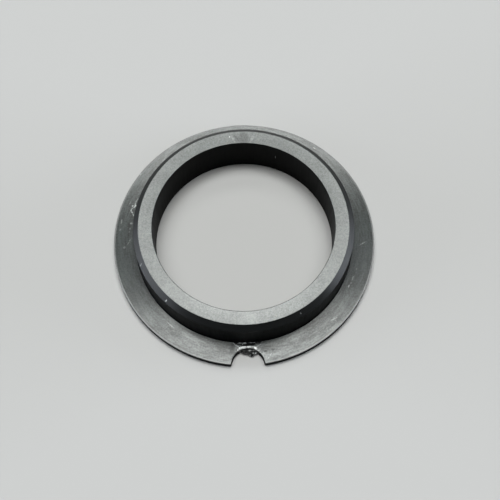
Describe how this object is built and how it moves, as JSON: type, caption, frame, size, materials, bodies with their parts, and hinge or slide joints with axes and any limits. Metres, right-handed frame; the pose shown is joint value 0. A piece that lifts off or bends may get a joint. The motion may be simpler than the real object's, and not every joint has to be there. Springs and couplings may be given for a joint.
{
  "type": "plastic washer",
  "caption": "Flat flanged ring washer of moulded plastic with a short chamfered collar round a plain bore and a half-round notch in the flange rim.",
  "frame": {"origin": "on the bore axis, at the underside of the flange", "axes": "+Z along the bore axis from the underside towards the collar's top face; the gate notch in the rim points along -Y"},
  "size_m": [0.04, 0.0398, 0.0069],
  "materials": {
    "black_plastic": "satin"
  },
  "bodies": {
    "root": {"washer": "black_plastic"}
  },
  "joints": []
}
